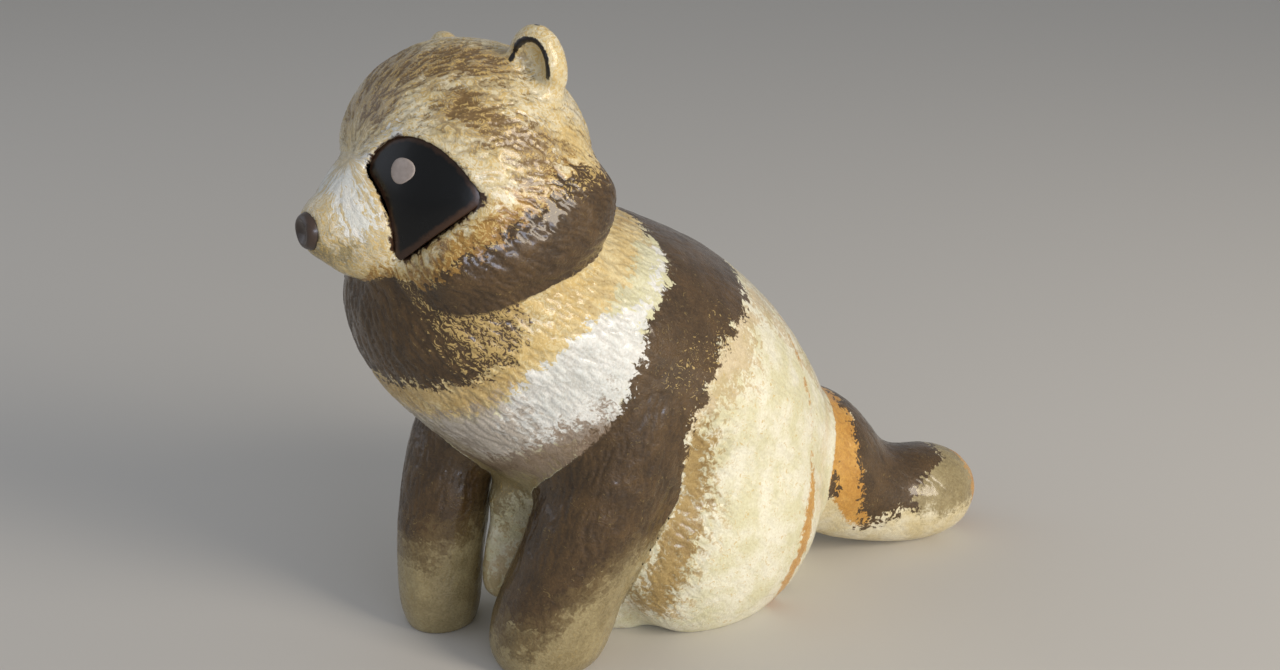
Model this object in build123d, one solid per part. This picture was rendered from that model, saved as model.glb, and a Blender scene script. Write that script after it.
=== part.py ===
from build123d import *
import math
import os

# Seated tanuki of painted clay, in millimetres. The nose points to -Y, the animal's left is +X.
# The ground is z = 0. Until the last step, y = 0 is at the middle of the rump.

# Body: an egg that leans forward from the rump up to the throat
torso_length = 98.0
torso_depth = 47.0
torso_width = 45.0
torso_lean = 44.3  # degrees above level
rump_height = 21.5

# Head: a ball with a blunt snout, tilted a little to the animal's right
head_length = 35.0
head_width = 36.5
head_height = 37.0
head_tilt = 7.0  # degrees
muzzle_length = 22.0
muzzle_width = 16.0
muzzle_height = 17.5
muzzle_reach = 4.4  # in front of the brow
nose_diameter = 5.0
nose_reach = 2.4  # in front of the muzzle
nose_seat_angle = -30.0  # latitude of its flat back

# Ruffs of fur at the sides of the face
cheek_length = 30.0
cheek_height = 19.0
cheek_thickness = 14.5
cheek_pitch = 20.0  # degrees, front end down
cheek_yaw = -6.0

# Eyes: D-shaped inlays with a domed face, a little below the fur round them, and a flat back
eye_length = 16.2
eye_height = 17.0
eye_turn = 37.6  # degrees from straight ahead
eye_recess = 0.7
eye_seat = 2.6  # flat back, behind the plane of the outline

# Ears: lobes with a hollow that faces forward
ear_width = 8.2
left_ear_height = 12.0
right_ear_height = 10.4
ear_thickness = 5.8
ear_wall = 1.3
ear_splay = 14.0  # degrees outwards
ear_yaw = 30.0

# Seat, thighs and tail
belly_length = 49.0
belly_width = 31.0
belly_height = 27.0
haunch_length = 41.0
haunch_height = 39.0
haunch_width = 23.0
haunch_pitch = -8.0  # degrees
haunch_yaw = 4.0
tail_length = 46.5  # from the middle of the rump
tail_swing = 12.5  # how far the tip lies to the animal's left
tail_root_diameter = 29.0

# Forelegs: the left one slants to its paw, the right one stands nearly upright
left_leg_height = 52.0
left_leg_width = 17.8
left_leg_length = 21.0
left_leg_stance = 9.0
left_leg_slant_back = 11.4
left_leg_slant_out = 5.5
right_leg_height = 47.0
right_leg_width = 13.2
right_leg_length = 13.8
right_leg_stance = 10.2
right_leg_slant_back = 9.5
right_leg_slant_out = 1.0

# Armature: straight wires and two bevelled rolls as cores
wire_diameter = 1.6
torso_core_share = 0.56
head_core_share = 0.50
core_bevel_share = 0.16

# Share that turns four Bezier curves into an ellipse
pull_share = 4 / 3 * (math.sqrt(2) - 1)


# Closed oval on a plane, from its half width and its heights above and below the centre
def oval(plane, half_width, above, below):
    def quarter(side, rise):
        wide = side * half_width
        return Bezier((wide, 0), (wide, pull_share * rise), (pull_share * wide, rise), (0, rise))
    quarters = [quarter(1, above), quarter(-1, above), quarter(-1, -below), quarter(1, -below)]
    return plane * make_face(quarters)


# Egg round the origin
def egg(width, length, height):
    return scale(Sphere(1), by=(width / 2, length / 2, height / 2))


# What is left of a piece that is pressed against others
def pressed_on(piece, *others):
    for other in others:
        piece = piece - other
    return max(piece.solids(), key=lambda solid: solid.volume)


# Places on the body's own axis, which starts low behind the rump and ends in the throat
lean = math.radians(torso_lean)
axis_forward = Vector(0, -math.cos(lean), math.sin(lean))
axis_back = Vector(0, math.sin(lean), math.cos(lean))
rump_share = 0.234


def on_axis(along_share, back_share=0.0):
    along = (along_share - rump_share) * torso_length
    rump = Vector(0, 0, rump_height)
    return rump + axis_forward * along + axis_back * (back_share * torso_depth)


# Share along the axis, offset to the back, half width, half depth to the back and to the front
torso_shares = [
    (0.030, 0.030, 0.190, 0.165, 0.165),
    (0.120, 0.015, 0.345, 0.320, 0.320),
    (0.250, 0.000, 0.452, 0.440, 0.450),
    (0.420, -0.005, 0.500, 0.485, 0.495),
    (0.590, -0.030, 0.490, 0.460, 0.487),
    (0.740, -0.063, 0.450, 0.380, 0.465),
    (0.860, -0.063, 0.395, 0.295, 0.420),
    (0.960, -0.063, 0.240, 0.175, 0.265),
]


def torso_egg():
    sections = [Vertex(*on_axis(0.0, torso_shares[0][1]))]
    for along, offset, width, back, front in torso_shares:
        plane = Plane(on_axis(along, offset), x_dir=(1, 0, 0), z_dir=axis_forward)
        sections.append(oval(plane, width * torso_width, back * torso_depth, front * torso_depth))
    sections.append(Vertex(*on_axis(1.0, torso_shares[-1][1])))
    return loft(sections)


# Everything on the head is placed from the middle of its ball
head_on_axis_shares = (0.928, 0.113)
head_middle = on_axis(*head_on_axis_shares)
head_place = Pos(head_middle) * Rot(0, -head_tilt, 0)

# Share from the back pole to the brow, rise, half width, heights above and below
head_shares = [
    (0.060, 0.015, 0.240, 0.240, 0.240),
    (0.230, 0.010, 0.425, 0.415, 0.425),
    (0.500, 0.000, 0.500, 0.500, 0.500),
    (0.740, -0.020, 0.445, 0.455, 0.440),
    (0.920, -0.070, 0.265, 0.310, 0.265),
]


def head_ball(inset=0.0):
    length = head_length - 2 * inset
    width = head_width - 2 * inset
    height = head_height - 2 * inset
    sections = [Vertex(0, length / 2, head_shares[0][1] * height)]
    for along, rise, wide, above, below in head_shares:
        plane = Plane((0, (0.5 - along) * length, rise * height), x_dir=(1, 0, 0), z_dir=(0, -1, 0))
        sections.append(oval(plane, wide * width, above * height, below * height))
    sections.append(Vertex(0, -length / 2, head_shares[-1][1] * height))
    return head_place * loft(sections)


# Share from the tip back into the head, rise, half width, heights above and below
muzzle_shares = [
    (0.040, 0.000, 0.230, 0.230, 0.235),
    (0.170, 0.010, 0.395, 0.410, 0.390),
    (0.380, 0.020, 0.495, 0.620, 0.470),
    (0.620, 0.020, 0.480, 0.730, 0.450),
    (0.860, 0.020, 0.310, 0.480, 0.300),
]
muzzle_tip_rise_share = -0.105
muzzle_tip_y = -(head_length / 2 + muzzle_reach)
muzzle_tip_z = muzzle_tip_rise_share * head_height


def muzzle_bulb():
    def at(along, rise):
        return (0, muzzle_tip_y + along * muzzle_length, muzzle_tip_z + rise * muzzle_height)
    sections = [Vertex(*at(0.0, 0.0))]
    for along, rise, wide, above, below in muzzle_shares:
        plane = Plane(at(along, rise), x_dir=(-1, 0, 0), z_dir=(0, 1, 0))
        sections.append(oval(plane, wide * muzzle_width, above * muzzle_height, below * muzzle_height))
    sections.append(Vertex(*at(1.0, muzzle_shares[-1][1])))
    return head_place * loft(sections)


# Ball with a flat back that sits in the muzzle
def nose_button():
    front = Pos(0, muzzle_tip_y - nose_reach, muzzle_tip_z)
    to_front = (Align.CENTER, Align.CENTER, Align.MAX)
    return head_place * front * Rot(90, 0, 0) * Sphere(nose_diameter / 2, nose_seat_angle, align=to_front)


# Places on the head, as shares of its width, length and height
cheek_at_shares = (0.337, 0.017, -0.168)
eye_at_shares = (0.266, -0.371, -0.027)
ear_at_shares = (0.323, 0.166, 0.373)


def at_head(side_share, back_share, rise_share):
    return Pos(side_share * head_width, back_share * head_length, rise_share * head_height)


# Left and right twins of a piece that was made in the head's own frame
def both_sides(piece):
    return head_place * piece, head_place * mirror(piece, Plane.YZ)


def cheek_ruff():
    ruff = egg(cheek_thickness, cheek_length, cheek_height)
    return at_head(*cheek_at_shares) * Rot(cheek_pitch, 0, cheek_yaw) * ruff


# Outline of an eye seen square on: front corner, top, rear of the brow, rear corner, foot, waist
eye_shares = [
    (-0.426, 0.235), (0.037, 0.500), (0.401, 0.312), (0.574, -0.020), (-0.260, -0.500), (-0.200, -0.155),
]


def eye_column():
    front, top, brow, rear, foot, waist = [(x * eye_length, y * eye_height) for x, y in eye_shares]
    outline = [Spline(front, top, brow, rear), Line(rear, foot), ThreePointArc(foot, waist, front)]
    square_on = at_head(*eye_at_shares) * Rot(0, 0, eye_turn) * Rot(90, 0, 0)
    return square_on * Pos(0, 0, -eye_seat) * extrude(make_face(outline), head_width / 2)


# Lobe with its long axis up and its hollow towards -Y
def ear_lobe(height):
    lobe = egg(ear_width, ear_thickness, height)
    hollow = egg(ear_width - 2 * ear_wall, ear_thickness, height - 2 * ear_wall)
    cupped = lobe - Pos(0, -ear_wall - ear_thickness / 4, 0) * hollow
    return at_head(*ear_at_shares) * Rot(0, ear_splay, ear_yaw) * cupped


# Height share, half width and half length of the pad between the legs
belly_shares = [(0.0, 0.440, 0.440), (0.10, 0.485, 0.485), (0.50, 0.500, 0.500), (1.0, 0.440, 0.400)]
seat_share = -0.092  # middle of the seat, from the middle of the rump along the body's length


def belly_pad():
    sections = []
    seat_y = seat_share * torso_length
    for up, wide, long in belly_shares:
        plane = Plane((0, seat_y, up * belly_height), x_dir=(1, 0, 0), z_dir=(0, 0, 1))
        sections.append(oval(plane, wide * belly_width, long * belly_length, long * belly_length))
    return loft(sections)


haunch_side_share = 0.267  # of the body's width
haunch_rise_share = 0.423  # of the thigh's height


def haunch_egg():
    rise = haunch_rise_share * haunch_height
    place = Pos(haunch_side_share * torso_width, seat_share * torso_length, rise)
    return place * Rot(haunch_pitch, 0, haunch_yaw) * egg(haunch_width, haunch_length, haunch_height)


# Height share, half width and half length of a foreleg, from the sole up into the body
leg_shares = [
    (0.00, 0.360, 0.365),
    (0.05, 0.430, 0.430),
    (0.15, 0.460, 0.465),
    (0.30, 0.472, 0.488),
    (0.50, 0.495, 0.500),
    (0.70, 0.480, 0.470),
    (0.90, 0.360, 0.360),
]
# How much of its slant each leg has reached at these heights
left_slant_shares = [0.00, 0.01, 0.10, 0.36, 0.70, 0.92, 1.00]
right_slant_shares = [0.00, 0.00, 0.01, 0.08, 0.25, 0.52, 1.00]
# How far forward the paws stand, along the body's length
left_paw_share = -0.392
right_paw_share = -0.472


class Foreleg:
    def __init__(self, side, paw_share, height, width, length, slant_shares):
        self.side, self.paw_y = side, paw_share * torso_length
        self.height, self.width, self.length = height, width, length
        self.slant_shares = slant_shares

    def stand(self, stance, slant_out, slant_back):
        middles = []
        for shares, slant in zip(leg_shares, self.slant_shares):
            x = self.side * (stance + slant * slant_out)
            middles.append(Vector(x, self.paw_y + slant * slant_back, shares[0] * self.height))
        return middles

    def roll(self, middles):
        sections = []
        for middle, shares in zip(middles, leg_shares):
            plane = Plane(middle, x_dir=(1, 0, 0), z_dir=(0, 0, 1))
            half_width, half_length = shares[1] * self.width, shares[2] * self.length
            sections.append(oval(plane, half_width, half_length, half_length))
        return loft(sections)


# Swing share, length share, share of the rump's height, diameter share
tail_shares = [
    (0.16, 0.08, 0.980, 0.90),
    (0.30, 0.27, 0.845, 0.84),
    (0.58, 0.47, 0.560, 0.69),
    (0.85, 0.67, 0.375, 0.575),
    (0.98, 0.84, 0.345, 0.540),
    (1.00, 0.95, 0.310, 0.340),
]
tail_end_shares = (1.0, 1.0, 0.295)


def tail_point(swing, back, up):
    return Vector(swing * tail_swing, back * tail_length, up * rump_height)


def tail_roll():
    middles = [tail_point(swing, back, up) for swing, back, up, thick in tail_shares]
    spine = Spline(*middles)
    sections = []
    for middle, shares in zip(middles, tail_shares):
        heading = spine % spine.param_at_point(middle)
        plane = Plane(middle, x_dir=(heading.Y, -heading.X, 0), z_dir=heading)
        radius = shares[3] * tail_root_diameter / 2
        sections.append(oval(plane, radius, radius, radius))
    sections.append(Vertex(*tail_point(*tail_end_shares)))
    return loft(sections)


# Inner pieces: cores at places on the body's axis, and the wires' ends
torso_core_at_share = 0.44
torso_core_length_share = 0.50
neck_start_share = 0.58
leg_anchor_shares = (0.66, -0.14)
leg_anchor_side_share = 0.145
tail_anchor_share = 0.24
tail_wire_end_shares = (0.90, 0.76, 0.37)


def wire(start, end):
    along = end - start
    length = along.length
    return Plane(start, z_dir=along) * Pos(0, 0, length / 2) * Cylinder(wire_diameter / 2, length)


# Roll along Y with bevelled ends
def core_roll(diameter, length):
    roll = Rot(90, 0, 0) * Cylinder(diameter / 2, length)
    return chamfer(roll.edges().filter_by(GeomType.CIRCLE), core_bevel_share * diameter)


ground_size = 3 * torso_length
ground = Pos(0, 0, -torso_length / 2) * Box(ground_size, ground_size, torso_length)

# Whole masses, before they are pressed on to each other
torso_mass = torso_egg() - ground
head_mass = head_ball()
muzzle_mass = muzzle_bulb()
nose = nose_button()
cheek_masses = both_sides(cheek_ruff())
eye_columns = both_sides(eye_column())
belly_mass = belly_pad()
haunch_mass = haunch_egg() - ground
haunch_masses = haunch_mass, mirror(haunch_mass, Plane.YZ)
tail_mass = tail_roll() - ground

left_leg = Foreleg(
    1, left_paw_share, left_leg_height, left_leg_width, left_leg_length, left_slant_shares)
right_leg = Foreleg(
    -1, right_paw_share, right_leg_height, right_leg_width, right_leg_length, right_slant_shares)
left_middles = left_leg.stand(left_leg_stance, left_leg_slant_out, left_leg_slant_back)
right_middles = right_leg.stand(right_leg_stance, right_leg_slant_out, right_leg_slant_back)
leg_masses = left_leg.roll(left_middles), right_leg.roll(right_middles)

torso_core_roll = core_roll(torso_core_share * torso_width, torso_core_length_share * torso_length)
torso_core_mass = Pos(on_axis(torso_core_at_share)) * Rot(-torso_lean, 0, 0) * torso_core_roll
head_core_mass = head_place * core_roll(head_core_share * head_width, head_core_share * head_length)
neck_wire = wire(on_axis(neck_start_share), head_middle)
leg_wires = []
for side, middles in (1, left_middles), (-1, right_middles):
    anchor = on_axis(*leg_anchor_shares) + Vector(side * leg_anchor_side_share * torso_width, 0, 0)
    leg_wires.append(wire(middles[2], anchor))
tail_wire = wire(on_axis(tail_anchor_share), tail_point(*tail_wire_end_shares))

# Pressing and inlaying: each piece gives way to those under it
eye_face = head_ball(eye_recess)
head = pressed_on(head_mass, *eye_columns, head_core_mass, neck_wire)
torso = pressed_on(torso_mass, head_mass, torso_core_mass, neck_wire, *leg_wires, tail_wire)
parts = {
    "torso": torso,
    "torso_core": pressed_on(torso_core_mass, neck_wire, *leg_wires, tail_wire),
    "belly": pressed_on(belly_mass, torso_mass),
    "tail": pressed_on(tail_mass, torso_mass, belly_mass, *haunch_masses, tail_wire),
    "tail_wire": tail_wire,
    "head": head,
    "head_core": pressed_on(head_core_mass, neck_wire),
    "neck_wire": neck_wire,
    "muzzle": pressed_on(muzzle_mass, head_mass, torso_mass, nose, *eye_columns),
    "nose": nose,
}
ear_masses = both_sides(ear_lobe(left_ear_height))[0], both_sides(ear_lobe(right_ear_height))[1]
for index, side in enumerate(["left", "right"]):
    haunch, column, leg_wire = haunch_masses[index], eye_columns[index], leg_wires[index]
    parts[f"haunch_{side}"] = pressed_on(haunch, torso_mass, belly_mass)
    parts[f"foreleg_{side}"] = pressed_on(leg_masses[index], torso_mass, belly_mass, haunch, leg_wire)
    parts[f"foreleg_wire_{side}"] = leg_wire
    parts[f"cheek_{side}"] = pressed_on(cheek_masses[index], head_mass, torso_mass, muzzle_mass, column)
    parts[f"eye_{side}"] = pressed_on(column & eye_face)
    parts[f"ear_{side}"] = pressed_on(ear_masses[index], head_mass)

# The origin moves to the middle between the front of the nose and the tip of the tail
nose_front_y = head_middle.Y + muzzle_tip_y - nose_reach
middle_y = (nose_front_y + tail_length) / 2

os.makedirs("parts", exist_ok=True)
for name, solid in parts.items():
    export_step(Pos(0, -middle_y, 0) * solid, f"parts/{name}.step")
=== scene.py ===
import functools
import math
import time

import bmesh
import bpy
import numpy as np
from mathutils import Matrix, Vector
from mathutils.bvhtree import BVHTree
from mathutils.kdtree import KDTree


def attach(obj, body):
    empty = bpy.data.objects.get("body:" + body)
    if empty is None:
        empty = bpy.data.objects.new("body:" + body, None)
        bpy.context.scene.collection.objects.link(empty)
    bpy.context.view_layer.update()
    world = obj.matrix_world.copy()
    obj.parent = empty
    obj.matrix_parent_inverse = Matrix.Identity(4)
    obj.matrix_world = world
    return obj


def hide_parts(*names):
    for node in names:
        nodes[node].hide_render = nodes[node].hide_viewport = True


began = time.time()
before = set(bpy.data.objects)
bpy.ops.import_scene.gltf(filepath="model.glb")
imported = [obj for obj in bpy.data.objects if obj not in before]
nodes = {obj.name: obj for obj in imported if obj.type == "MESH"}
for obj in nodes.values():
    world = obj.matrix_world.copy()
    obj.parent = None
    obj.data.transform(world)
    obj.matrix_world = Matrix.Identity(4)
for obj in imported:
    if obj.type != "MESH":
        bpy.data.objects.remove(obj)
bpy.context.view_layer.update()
collection = bpy.context.scene.collection
# Places and sizes below are millimetres of the CAD frame, unless a note says otherwise
perMetre = 1000.0
weld = 1e-7  # Metres


def say(text):
    print("%5.1f s  %s" % (time.time() - began, text), flush=True)


def readAll(items, name, width=1, kind=float):
    values = np.empty(len(items) * width, kind)
    items.foreach_get(name, values)
    return values.reshape(-1, width) if width > 1 else values


def verticesOf(mesh):
    return readAll(mesh.vertices, "co", 3) * perMetre


def moveVertices(mesh, vertices):
    mesh.vertices.foreach_set("co", (vertices / perMetre).ravel())
    mesh.update()


def openMerged(obj):
    bm = bmesh.new()
    bm.from_mesh(obj.data)
    bmesh.ops.remove_doubles(bm, verts=bm.verts, dist=weld)
    return bm


def mergedCopy(obj):
    bm = openMerged(obj)
    bmesh.ops.triangulate(bm, faces=bm.faces)
    bm.normal_update()
    vertices = np.array([v.co[:] for v in bm.verts]) * perMetre
    outward = np.array([v.normal[:] for v in bm.verts])
    triangles = np.array([[v.index for v in f.verts] for f in bm.faces])
    bm.free()
    return vertices, triangles, outward


def newObject(name, vertices, faces):
    mesh = bpy.data.meshes.new(name)
    mesh.from_pydata((np.asarray(vertices) / perMetre).tolist(), [], faces)
    mesh.update()
    obj = bpy.data.objects.new(name, mesh)
    collection.objects.link(obj)
    return obj


def bakeModifiers(obj):
    depsgraph = bpy.context.evaluated_depsgraph_get()
    mesh = bpy.data.meshes.new_from_object(obj.evaluated_get(depsgraph))
    obj.modifiers.clear()
    old = obj.data
    obj.data = mesh
    bpy.data.meshes.remove(old)


def voxelRemesh(obj, voxel):
    remesh = obj.modifiers.new("voxels", "REMESH")
    remesh.mode = "VOXEL"
    remesh.voxel_size = voxel / perMetre
    bakeModifiers(obj)


def surfaceTree(vertices, triangles):
    return BVHTree.FromPolygons(vertices.tolist(), triangles.tolist())


def spotTree(spots):
    tree = KDTree(len(spots))
    for k, spot in enumerate(spots):
        tree.insert(spot, k)
    tree.balance()
    return tree


def smoothStep(values, low, high):
    t = np.clip((values - low) / (high - low), 0.0, 1.0)
    return t * t * (3.0 - 2.0 * t)


def least(*values):
    return functools.reduce(np.minimum, values)


def greatest(*values):
    return functools.reduce(np.maximum, values)


def writeFields(mesh, values):
    for name, array in values.items():
        vector = array.ndim == 2
        data = mesh.attributes.new(name, "FLOAT_VECTOR" if vector else "FLOAT", "POINT").data
        data.foreach_set("vector" if vector else "value", np.ascontiguousarray(array, np.float32).ravel())


def feed(tree, sockets, values):
    for key, value in values.items():
        if isinstance(value, bpy.types.NodeSocket):
            tree.links.new(value, sockets[key])
        else:
            sockets[key].default_value = value


def addNode(tree, kind, inputs=None, **settings):
    node = tree.nodes.new(kind)
    for key, value in settings.items():
        setattr(node, key, value)
    feed(tree, node.inputs, inputs or {})
    return node


def groupTree(name, kind, inputs, outputs):
    tree = bpy.data.node_groups.new(name, kind)
    for way, sockets in (("INPUT", inputs), ("OUTPUT", outputs)):
        for key, socket in sockets.items():
            tree.interface.new_socket(key, in_out=way, socket_type="NodeSocket" + socket)
    return tree, addNode(tree, "NodeGroupInput").outputs, addNode(tree, "NodeGroupOutput").inputs


def colour(code):
    values = [int(code[k:k + 2], 16) / 255.0 for k in (1, 3, 5)]
    return tuple(v / 12.92 if v <= 0.04045 else ((v + 0.055) / 1.055) ** 2.4 for v in values) + (1.0,)


# Frames of the body and the head, as the CAD has them
figure = {
    "rump": np.array([0.0, 11.38, 21.5]),
    "forward": np.array([0.0, -0.7157, 0.6984]),
    "backward": np.array([0.0, 0.6984, 0.7157]),
    "headMiddle": np.array([0.0, -33.58, 72.8]),
    "headTilt": math.radians(7.0),
}

# Masses of clay, and how they run into each other
clay = {
    "slots": {"torso": "brown_clay", "belly": "cream_clay", "haunch_left": "cream_clay",
              "haunch_right": "cream_clay", "foreleg_left": "dark_clay", "foreleg_right": "dark_clay",
              "tail": "golden_clay", "head": "golden_clay", "cheek_left": "ruff_clay",
              "cheek_right": "ruff_clay", "muzzle": "white_clay", "ear_left": "golden_clay",
              "ear_right": "golden_clay"},
    "voxel": 0.34, "swell": 0.2,
    # Rounds of votes on the mass that each spot of the skin belongs to
    "voteRounds": 5, "ownVote": 1.5,
    # Width of each blend: at the rear, and at the face
    "blends": {"torso haunch": (9.0, 9.0), "torso foreleg": (5.5, 5.5), "torso tail": (4.5, 4.5),
               "torso belly": (3.0, 3.0), "haunch tail": (2.5, 2.5), "haunch foreleg": (1.2, 1.2),
               "belly foreleg": (1.0, 1.0), "belly haunch": (3.0, 3.0), "belly tail": (2.0, 2.0),
               "torso head": (2.5, 4.0), "torso cheek": (1.1, 5.5), "head cheek": (5.0, 4.0),
               "head muzzle": (1.6, 1.6), "cheek muzzle": (0.9, 0.9), "head ear": (2.2, 2.2)},
    "rearAt": -31.0, "faceAt": -43.0,
    # Blends from this width on are smoothed for long, and from the next one in full
    "wideFrom": 2.0, "fullFrom": 4.0,
    "rounds": {"wide": 202, "narrow": 9, "overall": 3, "swelling": 23, "paint": 4},
    "pull": 0.6, "overall": 0.8,
}
clayNames = list(clay["slots"])
clayKinds = np.array([n.split("_")[0] for n in clayNames])


# One skin over all masses of clay: voxel remesh of their union, outer shell only
def unionSkin():
    vertices, triangles, owners, start = [], [], [], 0
    for index, name in enumerate(clayNames):
        places, corners, outward = mergedCopy(nodes[name])
        # A hair larger, so that masses that only touch become one
        vertices.append(places + outward * clay["swell"])
        triangles.append(corners + start)
        owners.append(np.full(len(corners), index))
        start += len(places)
    vertices, triangles = np.concatenate(vertices), np.concatenate(triangles)
    obj = newObject("claySkin", vertices, triangles.tolist())
    voxelRemesh(obj, clay["voxel"])
    return obj, surfaceTree(vertices, triangles), np.concatenate(owners)


def outerShell(obj):
    bm = bmesh.new()
    bm.from_mesh(obj.data)
    seen = np.zeros(len(bm.verts), bool)
    shells = []
    for first in bm.verts:
        if seen[first.index]:
            continue
        stack, shell = [first], []
        seen[first.index] = True
        while stack:
            v = stack.pop()
            shell.append(v)
            for e in v.link_edges:
                o = e.other_vert(v)
                if not seen[o.index]:
                    seen[o.index] = True
                    stack.append(o)
        shells.append(shell)
    shells.sort(key=len)
    bmesh.ops.delete(bm, geom=[v for shell in shells[:-1] for v in shell], context="VERTS")
    bm.to_mesh(obj.data)
    bm.free()


skin, massTree, massOwner = unionSkin()
outerShell(skin)
points = verticesOf(skin.data)
count = len(points)
edges = readAll(skin.data.edges, "vertices", 2, int)
bothEnds = np.concatenate([edges[:, 0], edges[:, 1]])
otherEnds = np.concatenate([edges[:, 1], edges[:, 0]])
degree = np.bincount(bothEnds, minlength=count)
say("skin of %d vertices" % count)

owner = np.array([massOwner[massTree.find_nearest(p)[2]] for p in points])
for _ in range(clay["voteRounds"]):
    ballots = bothEnds * len(clayNames) + owner[otherEnds]
    votes = np.bincount(ballots, minlength=count * len(clayNames)).reshape(count, -1) * 1.0
    votes[np.arange(count), owner] += clay["ownVote"]
    owner = votes.argmax(1)
ownerKind = clayKinds[owner]
say("masses found again on the skin")


def inBox(spots, reach):
    low, high = spots.min(0) - reach, spots.max(0) + reach
    return np.nonzero(np.all((points > low) & (points < high), axis=1))[0]


def seamWeight(pairs):
    weight = np.zeros(count)
    crossing = edges[owner[edges[:, 0]] != owner[edges[:, 1]]]
    kinds = ownerKind[crossing]
    for pair, (rear, front) in pairs.items():
        a, b = pair.split()
        hit = ((kinds[:, 0] == a) & (kinds[:, 1] == b)) | ((kinds[:, 0] == b) & (kinds[:, 1] == a))
        seam = np.unique(crossing[hit])
        if not len(seam):
            continue
        near = spotTree(points[seam])
        reach = max(rear, front)
        inside = inBox(points[seam], reach)
        radius = np.interp(points[inside, 1], [clay["faceAt"], clay["rearAt"]], [front, rear])
        far = np.array([near.find(p)[2] for p in points[inside]]) / radius
        fall = np.where(far < 1.0, (1.0 - np.minimum(far, 1.0) ** 2) ** 1.5, 0.0)
        weight[inside] = np.maximum(weight[inside], fall * np.minimum(1.0, radius / clay["fullFrom"]))
    return weight


# Draws each value toward the mean of its neighbours, as far as its weight says
def relax(values, weight, rounds):
    pull = clay["pull"] * weight / degree
    moving = np.nonzero(weight > 0)[0]
    keep = np.isin(bothEnds, moving)
    a, b = bothEnds[keep], otherEnds[keep]
    for _ in range(rounds):
        for k in range(values.shape[1]):
            total = np.bincount(a, values[b, k], minlength=count)
            values[:, k] += total * pull - values[:, k] * clay["pull"] * weight
    return values


wide = {p: r for p, r in clay["blends"].items() if max(r) >= clay["wideFrom"]}
narrow = {p: r for p, r in clay["blends"].items() if max(r) < clay["wideFrom"]}
points = relax(points, seamWeight(wide), clay["rounds"]["wide"])
points = relax(points, seamWeight(narrow), clay["rounds"]["narrow"])
points = relax(points, np.full(count, clay["overall"]), clay["rounds"]["overall"])

# The pad under the belly swells out between the forelegs, up to the chest
swelling = {"x": -3.2, "halfWidth": 5.8, "fullness": 0.8, "forward": 9.0, "softening": 1.5,
            "top": (27.5, 19.0), "foot": (0.0, 7.0), "rear": (-8.0, -14.0)}
offMiddle = (points[:, 0] - swelling["x"]) / swelling["halfWidth"]
out = np.clip(1.0 - offMiddle ** 2, 0.0, 1.0) ** swelling["fullness"]
out *= (smoothStep(points[:, 2], *swelling["top"]) * smoothStep(points[:, 2], *swelling["foot"])
        * smoothStep(points[:, 1], *swelling["rear"]))
out *= np.isin(ownerKind, ["torso", "belly"])
out = relax(out[:, None], np.full(count, 1.0), clay["rounds"]["swelling"])[:, 0]
points[:, 1] -= swelling["forward"] * out
points = relax(points, np.clip(out * swelling["softening"], 0.0, 1.0), clay["rounds"]["swelling"])
points[:, 2] = np.maximum(points[:, 2], 0.0)
say("seams run into each other")

# Where each spot lies on the body, by distance from the rump and angle from the back, and on the head
x, y, z = points.T
towardNeck = (points - figure["rump"]) @ figure["forward"]
roundBody = np.degrees(np.arctan2(np.abs(x), (points - figure["rump"]) @ figure["backward"]))
cosTilt, sinTilt = math.cos(figure["headTilt"]), math.sin(figure["headTilt"])
right, back, up = (points - figure["headMiddle"]).T
face = np.stack([np.abs(right * cosTilt + up * sinTilt), back, up * cosTilt - right * sinTilt], 1)
mirrored = np.stack([np.abs(x), y, z], 1)
isHead = np.isin(ownerKind, ["head", "cheek", "ear", "muzzle"])
isLeg = ownerKind == "foreleg"
isTail = ownerKind == "tail"
isBody = ~(isHead | isLeg | isTail)
isLeft = x > 0

# Nose: place in the head's frame, and profile as distance along the snout and radius
nose = {"at": (0.0, -22.2, -3.885), "sides": 48, "threeSided": 0.03,
        "profile": [(-1.9, 0.0), (-1.8, 1.5), (-0.9, 2.3), (0.2, 2.58), (1.1, 2.52), (1.75, 2.2), (2.02, 1.82),
                    (1.92, 1.45), (1.62, 0.95), (1.45, 0.45), (1.4, 0.0)],
        # The snout comes forward round it
        "push": 1.35, "pushFade": (5.4, 2.4), "pushFrom": -15.0}
fromNose = np.hypot(face[:, 0], face[:, 2] - nose["at"][2])
points[:, 1] -= nose["push"] * smoothStep(fromNose, *nose["pushFade"]) * (face[:, 1] < nose["pushFrom"])


def dab(where, path, radius):
    path = np.array(path, float)
    best = np.full(count, 1e9)
    for a, b in zip(path[:-1], path[1:]):
        t = np.clip(((where - a) @ (b - a)) / ((b - a) @ (b - a)), 0.0, 1.0)
        best = np.minimum(best, np.linalg.norm(where - a - t[:, None] * (b - a), axis=1))
    return radius - best


outside = -9.0


def within(mask, values):
    return np.where(mask, values, outside)


def distanceTo(names, reach):
    found = np.full(count, reach)
    for name in names:
        vertices, triangles, _ = mergedCopy(nodes[name])
        tree = surfaceTree(vertices, triangles)
        for i in inBox(vertices, reach):
            d = tree.find_nearest(points[i], reach)[3]
            if d is not None:
                found[i] = min(found[i], d)
    return found


# Sharp edges of the CAD, as the line round an ear or an eye: angle in radians, spacing of the spots
sharp = {"angle": 0.55, "spacing": 0.15, "offBase": 0.7, "farthest": 9.0, "earsAbove": 12.0}


def sharpSpots(name):
    bm, spots = openMerged(nodes[name]), []
    for e in bm.edges:
        if len(e.link_faces) == 2 and e.calc_face_angle() > sharp["angle"]:
            a, b = (v.co * perMetre for v in e.verts)
            steps = 2 + int((b - a).length / sharp["spacing"])
            spots.extend(a.lerp(b, t) for t in np.linspace(0, 1, steps))
    bm.free()
    return spots


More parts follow.
